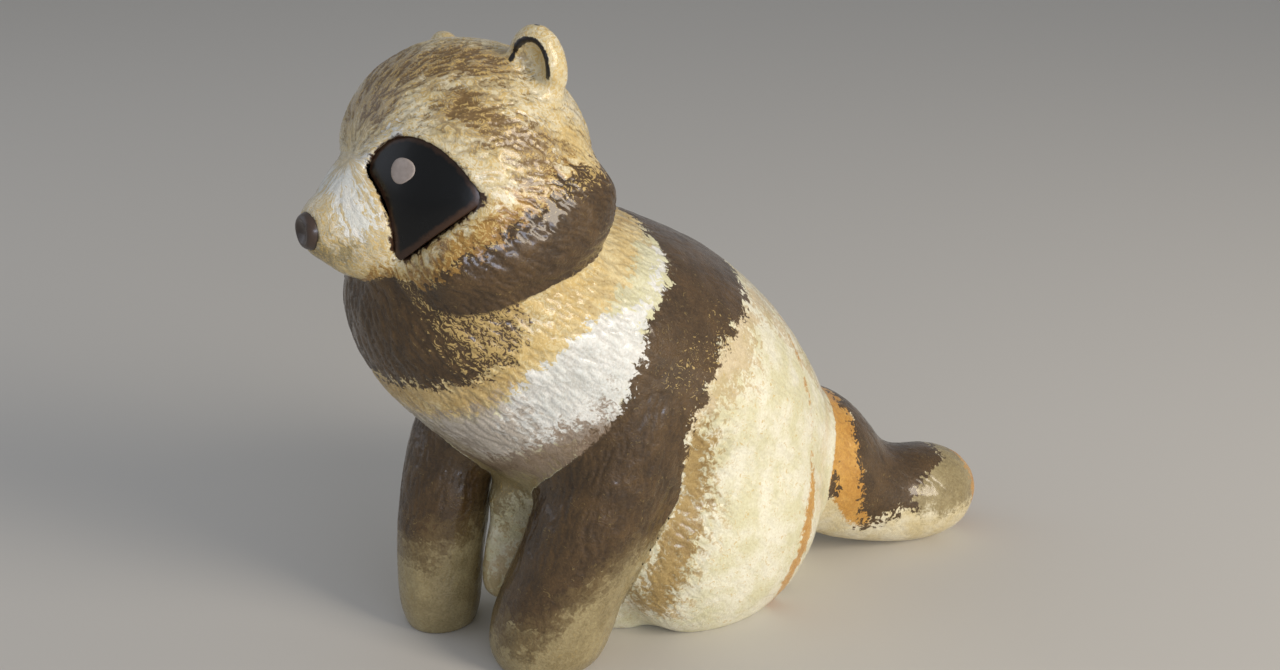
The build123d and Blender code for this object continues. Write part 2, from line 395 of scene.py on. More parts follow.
def rimDistance(names, base):
    found = np.full(count, sharp["farthest"])
    tree = surfaceTree(*mergedCopy(nodes[base])[:2])
    for name in names:
        near = spotTree([p for p in sharpSpots(name) if tree.find_nearest(p)[3] > sharp["offBase"]])
        for i in np.nonzero(np.isin(ownerKind, ["ear", "head"]) & (face[:, 2] > sharp["earsAbove"]))[0]:
            found[i] = min(found[i], near.find(points[i])[2])
    return found


eyeGap = distanceTo(["eye_left", "eye_right"], 4.0)
earRim = rimDistance(["ear_left", "ear_right"], "head")

# Edges of the bands round the body: distance from the rump, by angle from the back
bands = {
    "throat": ([0, 100, 106, 110, 121, 129, 140, 157, 180], [90, 80, 62, 58.5, 56.3, 55.8, 56.7, 59, 60.5]),
    "gold": ([0, 18, 39, 77, 91, 109, 127, 141, 159, 180],
             [43, 43.8, 45.9, 48.7, 50.6, 51.8, 52.5, 52, 53, 53.2]),
    "white": ([0, 35, 42, 58, 73, 83, 90, 98, 105, 115, 126, 140, 180],
              [42.6, 41.5, 39.6, 39.3, 40.2, 41.2, 41.4, 41.1, 39.3, 38, 39.6, 40, 40]),
    "dark": ([0, 25, 35, 51, 67, 78, 89, 101, 108, 115, 180],
             [25.4, 25.2, 24.8, 26.7, 29.4, 29, 28.6, 27.5, 25.4, 23.5, 20]),
    "fringe": ([0, 27, 35, 52, 63, 73, 84, 96, 107, 115, 180],
               [23.3, 23.3, 23.1, 22.1, 21.1, 21.8, 23.3, 24.5, 24.1, 21, 18]),
}
beyond = {k: towardNeck - np.interp(roundBody, *v) for k, v in bands.items()}

# Edges elsewhere: how high or how far back they lie, by place on the axis that they run along
edgeLines = {
    "ruffTop": (face[:, 1], [-13.5, -11.8, -9.1, -5.1, -2.7, 1.4, 3.7, 6.9, 10.7, 13.2],
                [-8.8, -5.5, -4.1, -2.0, -0.8, 0.5, 1.5, 2.0, 2.1, 3.0]),
    "ruffFade": (face[:, 1], [-13, -5, 2, 8], [3.4, 4.0, 1.9, 0.7]),
    "tailTop": (y, [22.9, 27.5, 31.3, 38.3, 41.1, 47.4], [14.9, 8.7, 6.7, 9.2, 7.5, 6.4]),
    "tailDark": (z, [7.9, 16.5, 23.5, 30.0], [30.8, 28.6, 29.0, 30.5]),
    "tailTip": (z, [8.0, 11.8, 13.9, 14.7, 20.0], [40.0, 40.0, 44.0, 49.4, 54.0]),
    "tailWedge": (z, [15.4, 20.0, 25.0, 28.5], [24.0, 23.4, 21.0, 15.0]),
    "haunchRim": (z, [5.8, 8.7, 13.3, 18.4, 22.0, 33.8], [10.0, 11.5, 13.0, 14.0, 15.0, 15.5]),
    "leftPaw": (y, [-33.0, -27.0, -20.0], [8.0, 15.0, 20.5]),
    "rightPaw": (y, [-40.0, -32.0, -26.0], [15.0, 18.0, 18.0]),
}
line = {k: np.interp(*v) for k, v in edgeLines.items()}
pawTop = np.where(isLeft, line["leftPaw"], line["rightPaw"])
inRuff = line["ruffTop"] - face[:, 2]

# Paths of single brush marks on the head, in its own frame, and along the crease behind the forelegs
marks = {
    "crown": [(2.5, -12.7, 11.9), (1.2, -10.9, 14.1), (2.5, -9.0, 15.5), (6.0, -6.3, 16.0), (8.0, -3.1, 16.3),
              (9.6, -1.1, 15.5)],
    "temple": [(12.9, -7.2, 10.5), (15.0, -4.9, 9.0), (16.6, -2.4, 7.3), (17.6, 0.5, 5.1), (17.7, 2.8, 2.9),
               (18.1, 1.1, 0.3)],
    "brow": [(3.4, -15.9, 3.3), (4.0, -15.1, 4.5), (6.5, -13.9, 6.0), (8.0, -13.4, 7.6)],
    "eyeRidge": [(12.8, -9.5, 8.3), (14.9, -8.0, 6.7), (16.5, -6.6, 4.1), (16.9, -6.2, 2.2), (17.3, -5.5, -1.6)],
    "snout": [(0, -19, -1), (0, -22, -5)],
    "snoutTop": [(1.7, -19.5, 1.7), (2.8, -18.5, 2.1), (4.4, -18.8, 0.5), (5.4, -18.8, -1.3),
                 (6.0, -18.5, -3.0)],
    "nape": [(13.9, 11.0, 2.9), (16.2, 10.2, 1.8), (15.4, 8.6, 4.6)],
    "crease": [(17.8, -13.9, 8.9), (20.2, -13, 14.7), (20.8, -11.7, 19.5), (20.4, -9.6, 25.2),
               (20.9, -10, 30.2), (21.7, -8.9, 35)],
}


def nearMark(name, radius):
    return dab(mirrored if name == "crease" else face, marks[name], radius)


snoutRadius = 7.5
onSnout = nearMark("snout", snoutRadius)



def sector(angle, perDegree):
    return (roundBody - angle) * perDegree


# Each tone is the distance in mm from the edge of its painted zone, positive inside
tone = {}
breast = least(beyond["white"], -beyond["gold"])
# Bare paws, under the tip of the tail and the snout, on the belly and in the creases
tan = {"pawFade": 4.0, "tipFade": 2.0, "chin": -4.2, "chinIn": 1.2, "bellyTop": 42.5, "bellyFoot": 28.0,
       "belly": (128.0, 0.25), "crease": 2.6}
tone["tan"] = greatest(
    within(isLeg, pawTop + tan["pawFade"] - z),
    within(isTail, least(y - line["tailTip"] + tan["tipFade"], z - line["tailTop"])),
    within(isHead, least(onSnout, tan["chin"] - face[:, 2]) - tan["chinIn"]),
    within(isBody, least(tan["bellyTop"] - towardNeck, towardNeck - tan["bellyFoot"], sector(*tan["belly"]))),
    within(~isHead & ~isTail, nearMark("crease", tan["crease"])),
)
# Round the neck, in the ruffs and on the nape
gold = {"neck": 2.5, "neckMost": 7.0, "ruff": 0.2, "ruffMost": 4.0, "nape": 3.5}
tone["gold"] = greatest(
    within(isBody, least(beyond["gold"] + gold["neck"], gold["neckMost"])),
    within(isHead, least(inRuff + gold["ruff"], gold["ruffMost"])),
    within(isHead, nearMark("nape", gold["nape"])),
)
# Behind the dark band, in the creases and under the throat
amber = {"fringe": 1.0, "dark": 3.0, "fringeFrom": 44.0, "crease": 3.4, "throat": 1.5, "throatFrom": 125.0}
tone["amber"] = greatest(
    within(isBody, least(beyond["fringe"] - amber["fringe"], amber["dark"] - beyond["dark"])
           * (roundBody > amber["fringeFrom"])),
    within(isBody, nearMark("crease", amber["crease"])),
    within(isBody & (roundBody > amber["throatFrom"]), least(beyond["gold"], amber["throat"] - beyond["throat"])),
)
# Line down the rear of the thighs, root and tip of the tail
orange = {"rim": 1.5, "rimTop": (24.0, 17.0), "offMiddle": 7.0, "root": 1.5, "rootMost": 2.5, "tip": 53.5}
tone["orange"] = greatest(
    within(isBody & (np.abs(x) > orange["offMiddle"]),
           orange["rim"] * smoothStep(z, *orange["rimTop"]) - np.abs(y - line["haunchRim"])),
    within(isTail, least(z - line["tailTop"], line["tailDark"] + orange["root"] - y, orange["rootMost"])),
    within(isTail, y - orange["tip"]),
)
# Throat, band over the shoulders, ruffs, legs, and ring and wedge on the tail
dark = {"throatMost": 9.0, "white": 2.5, "band": (131.0, -0.35), "wedgeAbove": 14.0}
tone["dark"] = greatest(
    within(isBody, least(beyond["throat"], dark["throatMost"])),
    within(isBody, least(beyond["dark"], dark["white"] - beyond["white"], sector(*dark["band"]))),
    within(isHead & (onSnout < 0), inRuff - line["ruffFade"]),
    within(isLeg, z - pawTop),
    within(isTail, least(y - line["tailDark"], line["tailTip"] - y, z - line["tailTop"])),
    within(isTail & (z > dark["wedgeAbove"]), line["tailWedge"] - y),
)
# Breast, brow and bridge of the snout; the band on the breast narrows at the throat and on the back
white = {"breast": (171.0, -0.5), "throat": 1.5, "throatAt": (130, 150), "back": 3.5, "backAt": (92, 78),
         "brow": 0.9, "snout": 1.7}
tone["white"] = greatest(
    within(isBody, least(breast, sector(*white["breast"]))
           - white["throat"] * smoothStep(roundBody, *white["throatAt"])
           - white["back"] * smoothStep(roundBody, *white["backAt"])),
    within(isHead, nearMark("brow", white["brow"])),
    within(isHead, nearMark("snoutTop", white["snout"])),
)
tone["cream"] = within(isBody, breast)
# Soft brown on the crown and the temples, in the ruffs, over the paws, and greys under the breast, where the
# grey-brown band is partly painted shade
soft = {"crown": 5.0, "temple": 3.0, "ruff": 0.3, "ruffMost": 6.0, "smoke": 2.6, "dusk": 3.2, "duskAt": 1.0,
        "duskSector": (116, 0.25), "ash": 1.0, "ashGold": 0.6, "ashSector": (138, 0.2)}
tone["umber"] = within(isHead, greatest(nearMark("crown", soft["crown"]), nearMark("temple", soft["temple"])))
tone["ruff"] = within(isHead & (onSnout < 0), least(inRuff - soft["ruff"], soft["ruffMost"]))
tone["smoke"] = within(isLeg, soft["smoke"] - np.abs(z - pawTop))
# Grey-brown band at the foot of the breast: partly its own paint, partly painted shade of the underside
tone["dusk"] = within(isBody, least(soft["dusk"] - np.abs(beyond["white"] + soft["duskAt"]),
                                    sector(*soft["duskSector"])))
tone["ash"] = within(isBody, least(beyond["white"] + soft["ash"], soft["ashGold"] - beyond["gold"],
                                   sector(*soft["ashSector"])))
# Rust round the eyes, and the black line round the eyes and the ears
outline = {"rust": 0.5, "eye": 0.1, "ear": 0.5}
tone["rust"] = outline["rust"] - eyeGap
tone["line"] = greatest(outline["eye"] - eyeGap, outline["ear"] - earRim)

# Share of brown strokes on the pale ground: more of them, radius and fade round a mark
flecks = {"head": 0.34, "body": 0.12, "snout": 0.22, "ear": 0.3, "crease": 0.22,
          "more": {"crown": (0.45, 5.5, 4.0), "temple": (0.5, 4.5, 3.5)}, "eyeRidge": (0.9, 2.0, 1.2)}
fleck = np.where(isHead, flecks["head"], flecks["body"])
for name, (more, radius, fade) in flecks["more"].items():
    marked = flecks["head"] + more * smoothStep(nearMark(name, radius), 0, fade)
    fleck = np.maximum(fleck, within(isHead, marked))
less, radius, fade = flecks["eyeRidge"]
fleck *= 1.0 - less * smoothStep(nearMark("eyeRidge", radius), 0, fade)
fleck *= np.where(ownerKind == "ear", flecks["ear"], 1.0)
fleck = np.where(isHead & (onSnout > 0), flecks["snout"], fleck)

# Share of pale strokes on the dark paint
streaks = {"throat": 0.95, "throatRound": (158, 118), "throatAlong": (50, 56), "ruff": 0.5, "ruffFade": (6.0, 2.5),
           "band": 0.2, "bandFade": (2.0, 6.0), "bandRound": (40, 60)}
streak = np.where(isBody, streaks["throat"] * smoothStep(roundBody, *streaks["throatRound"])
                  * smoothStep(towardNeck, *streaks["throatAlong"]), 0.0)
streak = np.where(isHead, streaks["ruff"] * smoothStep(inRuff, *streaks["ruffFade"]), streak)
streak = np.maximum(streak, within(isBody, streaks["band"] * smoothStep(-beyond["white"], *streaks["bandFade"])
                                   * smoothStep(roundBody, *streaks["bandRound"])))

# How densely the tool has combed each spot, and how lumpy it is
combing = {"head": 1.0, "plain": 0.35, "leg": 0.4, "legFade": (12.0, 22.0), "body": 0.3, "neck": 0.65,
           "neckFade": (38, 50), "crease": 0.65, "creaseRadius": 10.0, "creaseFade": 6.0, "muzzle": 0.45,
           "ear": 0.3, "offEye": (0.3, 1.4), "offGround": (0.2, 1.5)}
comb = np.where(isLeg, combing["plain"] + combing["leg"] * smoothStep(z, *combing["legFade"]), combing["plain"])
comb = np.where(isHead, combing["head"], comb)
comb = np.where(isBody, combing["body"] + combing["neck"] * smoothStep(towardNeck, *combing["neckFade"]), comb)
nearCrease = within(isBody, smoothStep(nearMark("crease", combing["creaseRadius"]), 0.0, combing["creaseFade"]))
comb = np.where(isBody, np.maximum(comb, combing["crease"] * nearCrease), comb)
fleck = np.where(isBody, np.maximum(fleck, flecks["crease"] * nearCrease), fleck)
for kind in ("muzzle", "ear"):
    comb = np.where(ownerKind == kind, combing[kind], comb)
comb *= smoothStep(eyeGap, *combing["offEye"]) * smoothStep(z, *combing["offGround"])
lumps = {"offEye": (0.2, 3.0), "offGround": (0.1, 3.0)}
lump = smoothStep(eyeGap, *lumps["offEye"]) * smoothStep(z, *lumps["offGround"])

# The fur runs away from one pole on each part
poles = [(isHead, figure["headMiddle"] + np.array([0.6, -17.5, 5.5])), (isBody, (0.0, -62.0, 78.0)),
         (isLeg & isLeft, (16.0, -12.0, 60.0)), (isLeg & ~isLeft, (-13.0, -12.0, 60.0)),
         (isTail, (0.0, 8.0, 40.0))]
flow = points.copy()
for mask, pole in poles:
    flow[mask] -= pole
along = np.linalg.norm(flow, axis=1)
flow /= along[:, None]

# Coordinates for brush strokes: along the comb, and round its axis. Of head, body and limbs: girth, and
# share of the full stroke's length
brush = {"axis": np.array([0.0, 0.75, -0.66]), "side": np.array([1.0, 0.0, 0.0]),
         "girth": (17.0, 21.0, 9.0), "reach": (0.62, 1.0, 0.75)}
girth, strokeReach = (np.where(isHead, head, np.where(isBody, body, limb))
                      for head, body, limb in (brush["girth"], brush["reach"]))
across = np.stack([flow @ brush["side"], flow @ np.cross(brush["axis"], brush["side"])], 1)
across /= np.maximum(np.linalg.norm(across, axis=1), 1e-6)[:, None]
fur = np.column_stack([along, across * girth[:, None]])

fields = {"tone_" + k: v for k, v in tone.items()}
fields.update(fleck=fleck, streak=streak, comb=comb, lump=lump)
toneLimit = 8.0
together = np.column_stack([np.clip(v, -toneLimit, toneLimit) for v in fields.values()])
together = relax(together, np.full(count, 1.0), clay["rounds"]["paint"])
fields = {k: together[:, i] for i, k in enumerate(fields)}
say("paint laid out")

moveVertices(skin.data, points)
writeFields(skin.data, {"comb": fields["comb"], "lump": fields["lump"], "reach": strokeReach, "flow": flow})

# Inputs of the relief, in metres and per square metre; the scales of its noises are per metre
furRelief = {"Stroke Length": 0.0031, "Stroke Width": 0.0006, "Stroke Depth": 0.0002, "Stroke Bend": 0.0011,
             "Stroke Density": 620000.0, "Bend Scale": 420.0, "Lump Height": 0.0007, "Lump Scale": 105.0,
             "Pit Depth": 0.00016, "Pit Scale": 620.0, "Shortest": 0.45, "Longest": 1.35, "Seed": 7}
strokeTurn = 0.32  # Radians
strokePoints = 7


def furTree():
    kinds = {k: "Int" if isinstance(v, int) else "Float" for k, v in furRelief.items()}
    tree, given, end = groupTree("Combed clay", "GeometryNodeTree", {"Geometry": "Geometry", **kinds},
                                 {"Geometry": "Geometry"})

    def geometry(kind, inputs=None, output=0, **settings):
        return addNode(tree, "GeometryNode" + kind, inputs, **settings).outputs[output]

    def field(name, kind="FLOAT"):
        return geometry("InputNamedAttribute", {"Name": name}, data_type=kind)

    def rotation(kind, inputs, **settings):
        return addNode(tree, "FunctionNode" + kind, inputs, **settings).outputs[0]

    def maths(operation, a, b):
        return addNode(tree, "ShaderNodeMath", {0: a, 1: b}, operation=operation).outputs[0]

    def centred(scale, detail, roughness):
        noise = addNode(tree, "ShaderNodeTexNoise", {"Scale": scale, "Detail": detail, "Roughness": roughness})
        return maths("SUBTRACT", noise.outputs[0], 0.5)

    def pushed(direction, by):
        return addNode(tree, "ShaderNodeVectorMath", {0: direction, "Scale": by}, operation="SCALE").outputs[0]

    surface, seed = given["Geometry"], given["Seed"]
    combed = field("comb")
    # Strokes scattered over the clay, along the lie of the fur
    density = maths("MULTIPLY", combed, given["Stroke Density"])
    scatter = addNode(tree, "GeometryNodeDistributePointsOnFaces",
                      {"Mesh": surface, "Density": density, "Seed": seed}, distribute_method="RANDOM").outputs
    stand = rotation("AlignRotationToVector", {"Vector": scatter["Normal"]}, axis="Z")
    comb = rotation("AlignRotationToVector", {"Rotation": stand, "Vector": field("flow", "FLOAT_VECTOR")},
                    axis="X", pivot_axis="Z")
    turn = rotation("RandomValue", {"Min": (0.0, 0.0, -strokeTurn), "Max": (0.0, 0.0, strokeTurn), "Seed": seed},
                    data_type="FLOAT_VECTOR")
    spin = rotation("EulerToRotation", {"Euler": turn})
    lay = rotation("RotateRotation", {"Rotation": comb, "Rotate By": spin}, rotation_space="LOCAL")
    reach = addNode(tree, "FunctionNodeRandomValue", {2: given["Shortest"], 3: given["Longest"], "Seed": seed},
                    data_type="FLOAT").outputs[1]
    length = maths("MULTIPLY", maths("MULTIPLY", reach, given["Stroke Length"]), field("reach"))
    size = addNode(tree, "ShaderNodeCombineXYZ", {0: length, 1: 1.0, 2: 1.0}).outputs[0]
    straight = geometry("MeshLine", {"Count": strokePoints, "Start Location": (-0.5, 0, 0),
                                     "Offset": (1 / (strokePoints - 1), 0, 0)})
    strokes = geometry("InstanceOnPoints",
                       {"Points": scatter["Points"], "Instance": straight, "Rotation": lay, "Scale": size})
    real = geometry("RealizeInstances", {0: strokes})
    # Each stroke wavers, and lies on the clay again
    waver = addNode(tree, "ShaderNodeTexNoise", {"Scale": given["Bend Scale"], "Detail": 0.0}).outputs[1]
    sway = addNode(tree, "ShaderNodeVectorMath", {0: waver, 1: (0.5, 0.5, 0.5)}, operation="SUBTRACT").outputs[0]
    bent = geometry("SetPosition", {"Geometry": real, "Offset": pushed(sway, given["Stroke Bend"])})
    onto = geometry("Proximity", {0: surface}, "Position", target_element="FACES")
    laid = geometry("SetPosition", {"Geometry": bent, "Position": onto})
    away = geometry("Proximity", {0: laid}, "Distance", target_element="EDGES")
    groove = addNode(tree, "ShaderNodeMapRange",
                     {"Value": away, "From Min": 0.0, "From Max": maths("MULTIPLY", given["Stroke Width"], 0.5),
                      "To Min": 1.0, "To Max": 0.0}, interpolation_type="SMOOTHSTEP").outputs[0]
    cut = maths("MULTIPLY", groove, combed)
    depth = maths("MULTIPLY", cut, given["Stroke Depth"])
    swell = maths("MULTIPLY", centred(given["Lump Scale"], 2.0, 0.45), given["Lump Height"])
    pits = maths("MULTIPLY", centred(given["Pit Scale"], 3.0, 0.6), given["Pit Depth"])
    shaped = maths("MULTIPLY", maths("ADD", swell, pits), field("lump"))
    height = maths("SUBTRACT", shaped, depth)
    kept = geometry("StoreNamedAttribute", {"Geometry": surface, "Name": "groove", "Value": cut},
                    data_type="FLOAT", domain="POINT")
    moved = geometry("SetPosition", {"Geometry": kept, "Offset": pushed(geometry("InputNormal"), height)})
    tree.links.new(moved, end[0])
    return tree


relief = skin.modifiers.new("relief", "NODES")
relief.node_group = furTree()
for item in relief.node_group.interface.items_tree:
    if item.in_out == "INPUT" and item.name in furRelief:
        relief[item.identifier] = furRelief[item.name]
bakeModifiers(skin)
points = verticesOf(skin.data)
points[:, 2] = np.maximum(points[:, 2], 0.0)
moveVertices(skin.data, points)
groove = readAll(skin.data.attributes["groove"].data, "value")
normals = readAll(skin.data.vertex_normals, "vector", 3)
paint = {k: v for k, v in fields.items() if k not in ("comb", "lump")}
paint.update(groove=groove, fur=fur)
say("combed")

# The skin parts along the masses again, each piece closed inside by a cap on its border
starts = readAll(skin.data.polygons, "loop_start", kind=int)
totals = readAll(skin.data.polygons, "loop_total", kind=int)
corners = readAll(skin.data.loops, "vertex_index", kind=int)
faceOwner = np.empty(len(starts), int)
quads = totals == 4
fourOwners = np.sort(owner[corners[starts[quads][:, None] + np.arange(4)]], axis=1)
faceOwner[quads] = fourOwners[:, 1]
faceOwner[~quads] = owner[corners[starts[~quads]]]


# Loops of the border, from the edges that only one face of the piece has
def borderLoops(faces):
    steps = {(f[k], f[(k + 1) % len(f)]) for f in faces for k in range(len(f))}
    border = {}
    for a, b in steps:
        if (b, a) not in steps:
            border.setdefault(b, []).append(a)
    for first in sorted(border):
        while border.get(first):
            loop, at = [], first
            while border.get(at):
                loop.append(at)
                at = border[at].pop()
                if at == first:
                    break
            yield loop


def clayPiece(name, index):
    faces = [corners[starts[f]:starts[f] + totals[f]] for f in np.nonzero(faceOwner == index)[0]]
    used = np.unique(np.concatenate(faces))
    remap = np.full(count, -1)
    remap[used] = np.arange(len(used))
    faces = [remap[f].tolist() for f in faces]
    vertices = points[used].tolist()
    for loop in borderLoops(faces):
        hub = len(vertices)
        vertices.append(np.mean([vertices[k] for k in loop], axis=0).tolist())
        faces.extend([loop[k], loop[(k + 1) % len(loop)], hub] for k in range(len(loop)))
    obj = newObject(name + "_clay", vertices, faces)
    obj.data.shade_smooth()
    padded = np.concatenate([used, np.full(len(vertices) - len(used), used[0])])
    writeFields(obj.data, {k: v[padded] for k, v in paint.items()})
    obj.data.normals_split_custom_set_from_vertices(normals[padded].tolist())
    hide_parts(name)
    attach(obj, "root")
    return obj


pieces = {name: clayPiece(name, index) for index, name in enumerate(clayNames)}
bpy.data.objects.remove(skin)
say("%d pieces of clay" % len(pieces))

# Two shades of each paint, how far its edge runs out in tufts and how soft it is, in mm, and how it covers
paints = {
    "tan": ("#ab9c72", "#857650", 1.6, 3.0, 1.0),
    "gold": ("#e8d7a2", "#d3b574", 1.3, 1.8, 0.9),
    "cream": ("#e9e7c8", "#d6d2a6", 1.3, 1.0, 0.95),
    "umber": ("#a48a58", "#7a5d30", 2.2, 3.2, 0.72),
    "ruff": ("#b08334", "#7f581c", 1.6, 1.8, 0.92),
    "amber": ("#cba55b", "#a27c36", 3.4, 3.4, 0.5),
    "orange": ("#d9a548", "#b9802a", 0.6, 1.0, 0.95),
    "dark": ("#5e4728", "#3c2b13", 1.5, 0.8, 1.0),
    "smoke": ("#77643f", "#5a4728", 1.8, 3.0, 0.8),
    "white": ("#f4f3ec", "#dcdfd8", 1.3, 0.7, 1.0),
    "ash": ("#cbbfae", "#a89a88", 1.8, 2.4, 0.8),
    # Dusk is as dark as the shade under the breast: partly painted shade
    "dusk": ("#a08d78", "#7d6852", 2.4, 3.0, 0.85),
    "rust": ("#4d3523", "#2e1e14", 0.4, 0.5, 1.0),
    "line": ("#1c120c", "#0e0b0a", 0.1, 0.15, 1.0),
}
# Noises per mm, the strokes in the grooves and on the ridges, the painted shade that darkens the grooves, and what
# the grain does to the paint
work = {
    "swayScale": 0.7, "sway": 3.0, "tuft": (0.2, 1.0, 1.0), "fine": (0.75, 3.0, 3.0), "blotch": 0.23, "grain": 2.6,
    "raggedEdge": 0.6, "contrast": (0.3, 0.7), "brownStroke": "#7a5a28", "brownCover": 0.75,
    "brownShare": (0.95, 0.1), "brownSoft": (-0.06, 0.12), "paleStroke": "#d3b673", "paleCover": 0.8,
    # The groove shade colour and its cover are painted shade, a brown multiply in the grooves of the strokes
    "paleShare": (1.0, 0.38), "paleSoft": (0.0, 0.15), "grooveShade": "#5b4426", "grooveShadeCover": 0.3,
    "grainShade": "#b9a27a", "grainCover": 0.22, "roughness": (0.3, 0.55),
}


def handPaint():
    tree, given, end = groupTree("Hand paint", "ShaderNodeTree", {"Ground": "Color", "Ground Shade": "Color"},
                                 {"Color": "Color", "Roughness": "Float", "Height": "Float"})

    def field(name, output="Fac"):
        return addNode(tree, "ShaderNodeAttribute", attribute_name=name).outputs[output]

    def maths(operation, a, b):
        return addNode(tree, "ShaderNodeMath", {0: a, 1: b}, operation=operation).outputs[0]

    def weighed(a, shareA, b, shareB):
        return maths("ADD", maths("MULTIPLY", a, shareA), maths("MULTIPLY", b, shareB))

    def spread(value, low, high, to=(0.0, 1.0)):
        limits = {"From Min": low, "From Max": high, "To Min": to[0], "To Max": to[1]}
        return addNode(tree, "ShaderNodeMapRange", {"Value": value, **limits},
                       interpolation_type="SMOOTHSTEP").outputs[0]

    def mix(factor, a, b, blend="MIX"):
        return addNode(tree, "ShaderNodeMix", {0: factor, 6: a, 7: b}, data_type="RGBA",
                       blend_type=blend).outputs[2]

    def vectors(operation, a, b):
        return addNode(tree, "ShaderNodeVectorMath", {0: a, 1: b}, operation=operation).outputs[0]

    def noise(vector, scale, detail, roughness=0.5, output=0):
        inputs = {"Vector": vectors("MULTIPLY", vector, scale), "Scale": 1.0, "Detail": detail,
                  "Roughness": roughness}
        return addNode(tree, "ShaderNodeTexNoise", inputs).outputs[output]

    def evenly(scale):
        return (scale, scale, scale)

    place = vectors("MULTIPLY", addNode(tree, "ShaderNodeTexCoord").outputs["Object"], evenly(perMetre))
    sway = vectors("SUBTRACT", noise(place, evenly(work["swayScale"]), 1.0, output=1), evenly(0.5))
    along = vectors("ADD", vectors("MULTIPLY", sway, evenly(work["sway"])), field("fur", "Vector"))
    tuft = spread(noise(along, work["tuft"], 3.0), *work["contrast"], (-1.0, 1.0))
    fine = spread(noise(along, work["fine"], 2.0), *work["contrast"])
    blotch = spread(noise(place, evenly(work["blotch"]), 4.0, 0.6), 0.35, 0.65)
    grain = spread(noise(place, evenly(work["grain"]), 3.0, 0.6), *work["contrast"])
    groove = field("groove")
    result = mix(blotch, given["Ground"], given["Ground Shade"])
    for name, (light, shade, reach, softness, cover) in paints.items():
        edge = maths("ADD", field("tone_" + name), maths("MULTIPLY", tuft, reach))
        ragged = maths("MULTIPLY", maths("SUBTRACT", grain, 0.5), work["raggedEdge"] * reach)
        mask = spread(maths("ADD", edge, ragged), -0.5 * softness, 0.5 * softness)
        two = mix(maths("MULTIPLY", maths("ADD", blotch, fine), 0.5), colour(light), colour(shade))
        if name == "dark":
            # Brown strokes lie in the grooves of the pale ground, pale ones on the ridges of the dark
            threshold = spread(field("fleck"), 0.0, 1.0, work["brownShare"])
            wear = weighed(groove, 0.4, fine, 0.62)
            brown = spread(maths("SUBTRACT", wear, threshold), *work["brownSoft"])
            result = mix(maths("MULTIPLY", brown, work["brownCover"]), result, colour(work["brownStroke"]))
        result = mix(maths("MULTIPLY", mask, cover), result, two)
        if name == "dark":
            threshold = spread(field("streak"), 0.0, 1.0, work["paleShare"])
            ridge = weighed(maths("SUBTRACT", 1.0, groove), 0.25, fine, 0.8)
            pale = spread(maths("SUBTRACT", ridge, threshold), *work["paleSoft"])
            result = mix(maths("MULTIPLY", pale, work["paleCover"]), result, colour(work["paleStroke"]))
    # Painted shade: the grooves of the strokes are darkened
    paintedGrooveShade = maths("MULTIPLY", groove, work["grooveShadeCover"])
    result = mix(paintedGrooveShade, result, colour(work["grooveShade"]), "MULTIPLY")
    dusty = maths("MULTIPLY", grain, work["grainCover"])
    result = mix(dusty, result, colour(work["grainShade"]), "MULTIPLY")
    rough = spread(weighed(blotch, 0.5, grain, 0.5), 0.0, 1.0, work["roughness"])
    feed(tree, end, {"Color": result, "Roughness": rough, "Height": weighed(grain, 0.6, fine, 0.4)})
    return tree


# Air-drying clay, brushed with acrylic and varnished to a satin gloss: name, light and dark ground
grounds = {
    "brown_clay": ("painted clay, body", "#f2eed6", "#dfdab3"),
    "cream_clay": ("painted clay, cream", "#f2eed6", "#dfdab3"),
    "dark_clay": ("painted clay, legs", "#cdbf8f", "#a89a66"),
    "golden_clay": ("painted clay, head and tail", "#e9e0c2", "#d8c89a"),
    "ruff_clay": ("painted clay, ruff", "#e9e0c2", "#d8c89a"),
    "white_clay": ("painted clay, snout", "#e4dcc4", "#cbbd97"),
}
varnish = {"Specular IOR Level": 0.25, "Coat Weight": 0.75, "Coat Roughness": 0.15}
brushMarks = {"Strength": 0.45, "Distance": 0.00018}
paintGroup = handPaint()


def newMaterial(name):
    material = bpy.data.materials.new(name)
    material.use_nodes = True
    return material, material.node_tree, material.node_tree.nodes["Principled BSDF"].inputs


def paintedClay(name, ground, shade):
    material, tree, shader = newMaterial(name)
    paint = addNode(tree, "ShaderNodeGroup", {"Ground": colour(ground), "Ground Shade": colour(shade)},
                    node_tree=paintGroup).outputs
    bump = addNode(tree, "ShaderNodeBump", {"Height": paint["Height"], **brushMarks}).outputs[0]
    feed(tree, shader, {"Base Color": paint["Color"], "Roughness": paint["Roughness"], "Normal": bump, **varnish})
    return material


finishes = {slot: paintedClay(*values) for slot, values in grounds.items()}
for name, piece in pieces.items():
    piece.data.materials.append(finishes[clay["slots"][name]])


def dress(name, material):
    node = nodes[name]
    if not node.material_slots:
        node.data.materials.append(material)
    for slot in node.material_slots:
        slot.link = "OBJECT"
        slot.material = material


def cloudyMaterial(name, light, shade, scale, roughness, **constants):
    material, tree, shader = newMaterial(name)
    where = addNode(tree, "ShaderNodeTexCoord").outputs["Object"]
    cloud = addNode(tree, "ShaderNodeTexNoise", {"Vector": where, "Scale": scale, "Detail": 4.0}).outputs[0]
    two = addNode(tree, "ShaderNodeMix", {0: cloud, 6: colour(light), 7: colour(shade)}, data_type="RGBA")
    limits = {"To Min": roughness * 0.7, "To Max": roughness * 1.3}
    rough = addNode(tree, "ShaderNodeMapRange", {"Value": cloud, **limits})
    bump = addNode(tree, "ShaderNodeBump", {"Height": cloud, "Strength": 0.25, "Distance": 0.0001})
    feed(tree, shader, {"Base Color": two.outputs[2], "Roughness": rough.outputs[0], "Normal": bump.outputs[0]})
    feed(tree, shader, {key.replace("_", " "): value for key, value in constants.items()})
    return material


